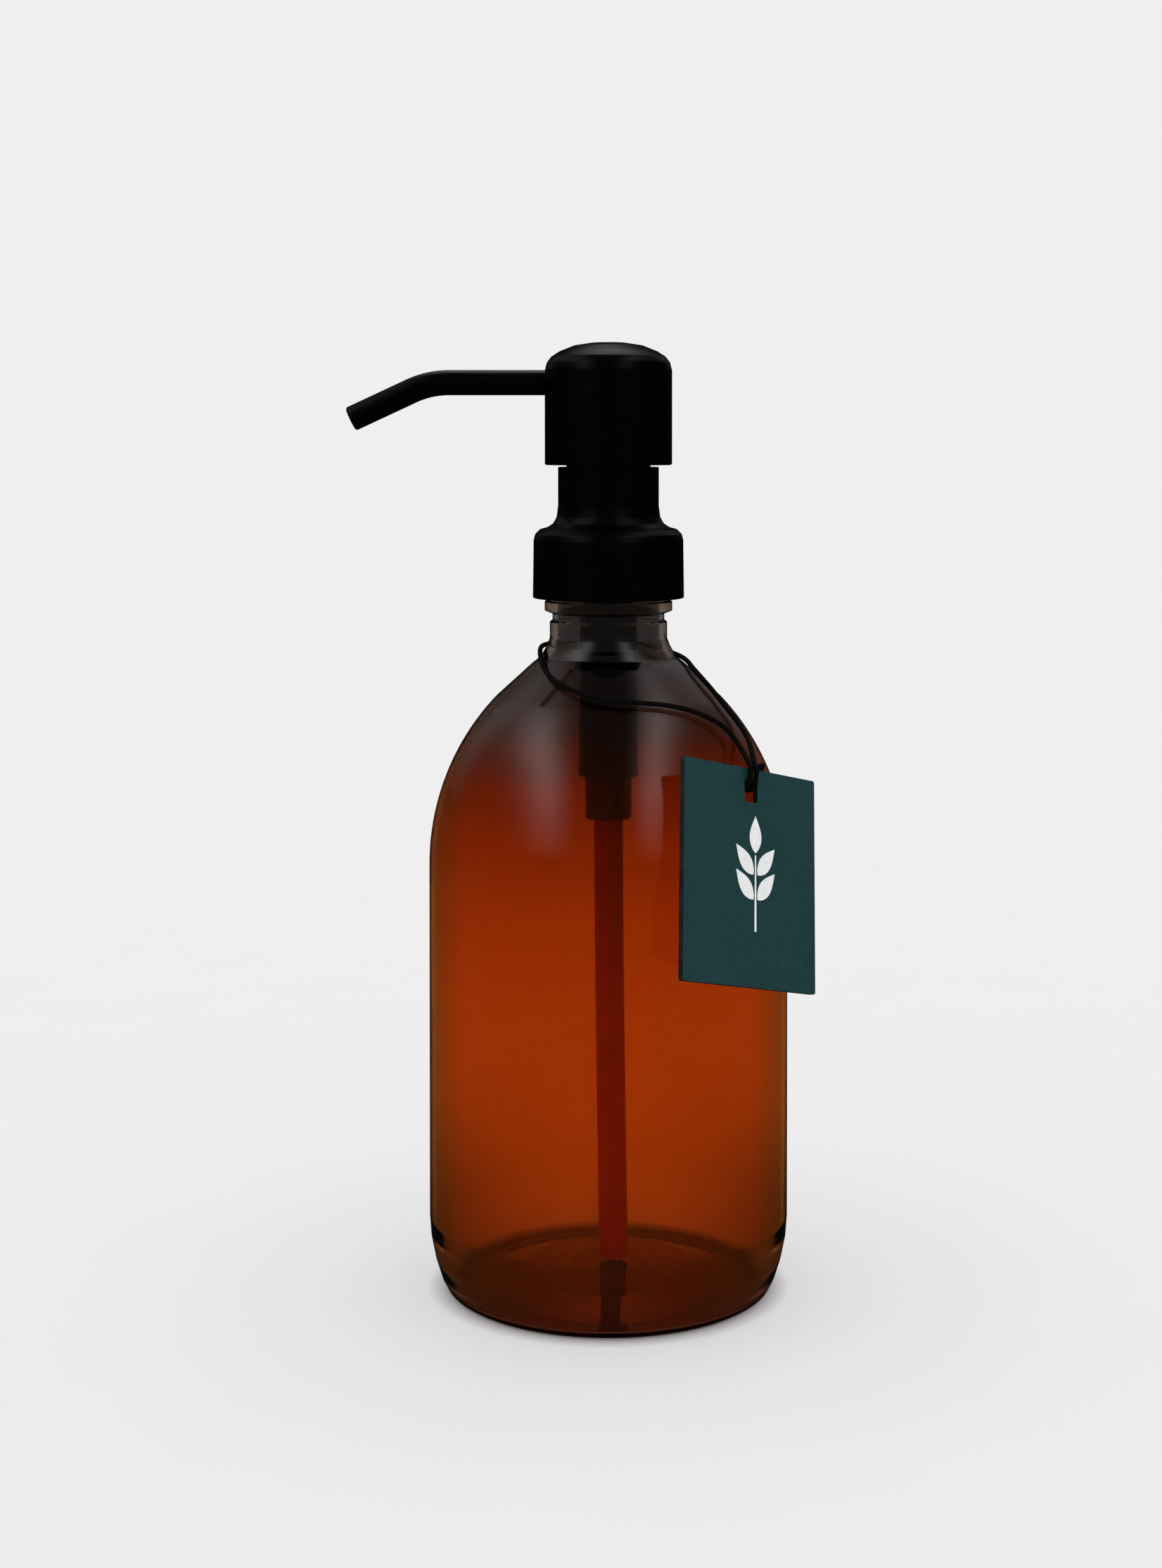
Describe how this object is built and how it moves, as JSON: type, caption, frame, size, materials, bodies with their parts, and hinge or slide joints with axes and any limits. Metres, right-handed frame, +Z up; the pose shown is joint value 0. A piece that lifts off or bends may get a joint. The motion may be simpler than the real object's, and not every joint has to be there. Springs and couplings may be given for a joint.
{
  "type": "soap pump dispenser",
  "caption": "Refillable amber bottle with a screw-on press pump, a swivelling curved spout and a blank hang tag on an elastic cord.",
  "frame": {"origin": "on the standing plane, under the middle of the footprint of bottle and spout together; the bottle's axis is 8.65 mm toward +X", "axes": "+Z up along the bottle's axis; the spout points along -X; +X is to the right and +Y away from the viewer in the front view"},
  "size_m": [0.095, 0.0835, 0.1932],
  "materials": {
    "amber_pet": "clear, glossy, tinted amber",
    "black_metal": "satin black",
    "dark_plastic": "moulded",
    "pale_plastic": "translucent, moulded",
    "spring_steel": "bright drawn wire",
    "soft_seal": "soft, matt",
    "tag_board": "matt printed board",
    "cord": "braided elastic"
  },
  "bodies": {
    "bottle": {"bottle": "amber_pet"},
    "pump_body": {"neck_gasket": "soft_seal", "pump_housing": "dark_plastic", "guide_bush": "dark_plastic", "valve_cage": "pale_plastic", "return_spring": "spring_steel", "dip_tube": "pale_plastic"},
    "closure": {"closure_shell": "black_metal", "closure_insert": "dark_plastic"},
    "inlet_valve": {"inlet_ball": "spring_steel"},
    "piston": {"piston_seal": "soft_seal"},
    "head": {"pump_stem": "dark_plastic", "actuator_core": "dark_plastic", "head_shell": "black_metal", "spout_tube": "black_metal"},
    "outlet_valve": {"outlet_ball": "spring_steel"},
    "cord": {"cord_loop": "cord"},
    "tag": {"hang_tag": "tag_board", "cord_end_left": "cord", "cord_end_right": "cord", "cord_knot": "cord"}
  },
  "joints": [
    {"name": "closure_lift", "type": "slide", "parent": "bottle", "child": "pump_body", "axis": [0, 0, 1], "range_m": [0, 0.00635]},
    {"name": "closure_turn", "type": "hinge", "parent": "pump_body", "child": "closure", "pos_m": [0.00865, 0, 0.147], "axis": [0, 0, 1], "range_deg": [0, 540]},
    {"name": "inlet_ball_lift", "type": "slide", "parent": "pump_body", "child": "inlet_valve", "axis": [0, 0, 1], "range_m": [0, 0.0018]},
    {"name": "pump_stroke", "type": "slide", "parent": "pump_body", "child": "piston", "axis": [0, 0, -1], "range_m": [0, 0.0095], "stiffness_N_per_m": 600, "springref_m": -0.01, "deforming": ["return_spring"]},
    {"name": "head_swivel", "type": "hinge", "parent": "piston", "child": "head", "pos_m": [0.00865, 0, 0.18], "axis": [0, 0, 1], "continuous": true},
    {"name": "outlet_ball_lift", "type": "slide", "parent": "head", "child": "outlet_valve", "axis": [0, 0, 1], "range_m": [0, 0.002]},
    {"name": "cord_turn", "type": "hinge", "parent": "bottle", "child": "cord", "pos_m": [0.00865, 0, 0.125], "axis": [0, 0, 1], "continuous": true},
    {"name": "tag_swing", "type": "hinge", "parent": "cord", "child": "tag", "pos_m": [0.03677, -0.02158, 0.10979], "axis": [-0.7092, -0.669, 0.2224], "range_deg": [0, 50]}
  ],
  "couplings": [
    {"joint": "closure_lift", "follows": "closure_turn", "m_per_rad": 0.0006737}
  ]
}
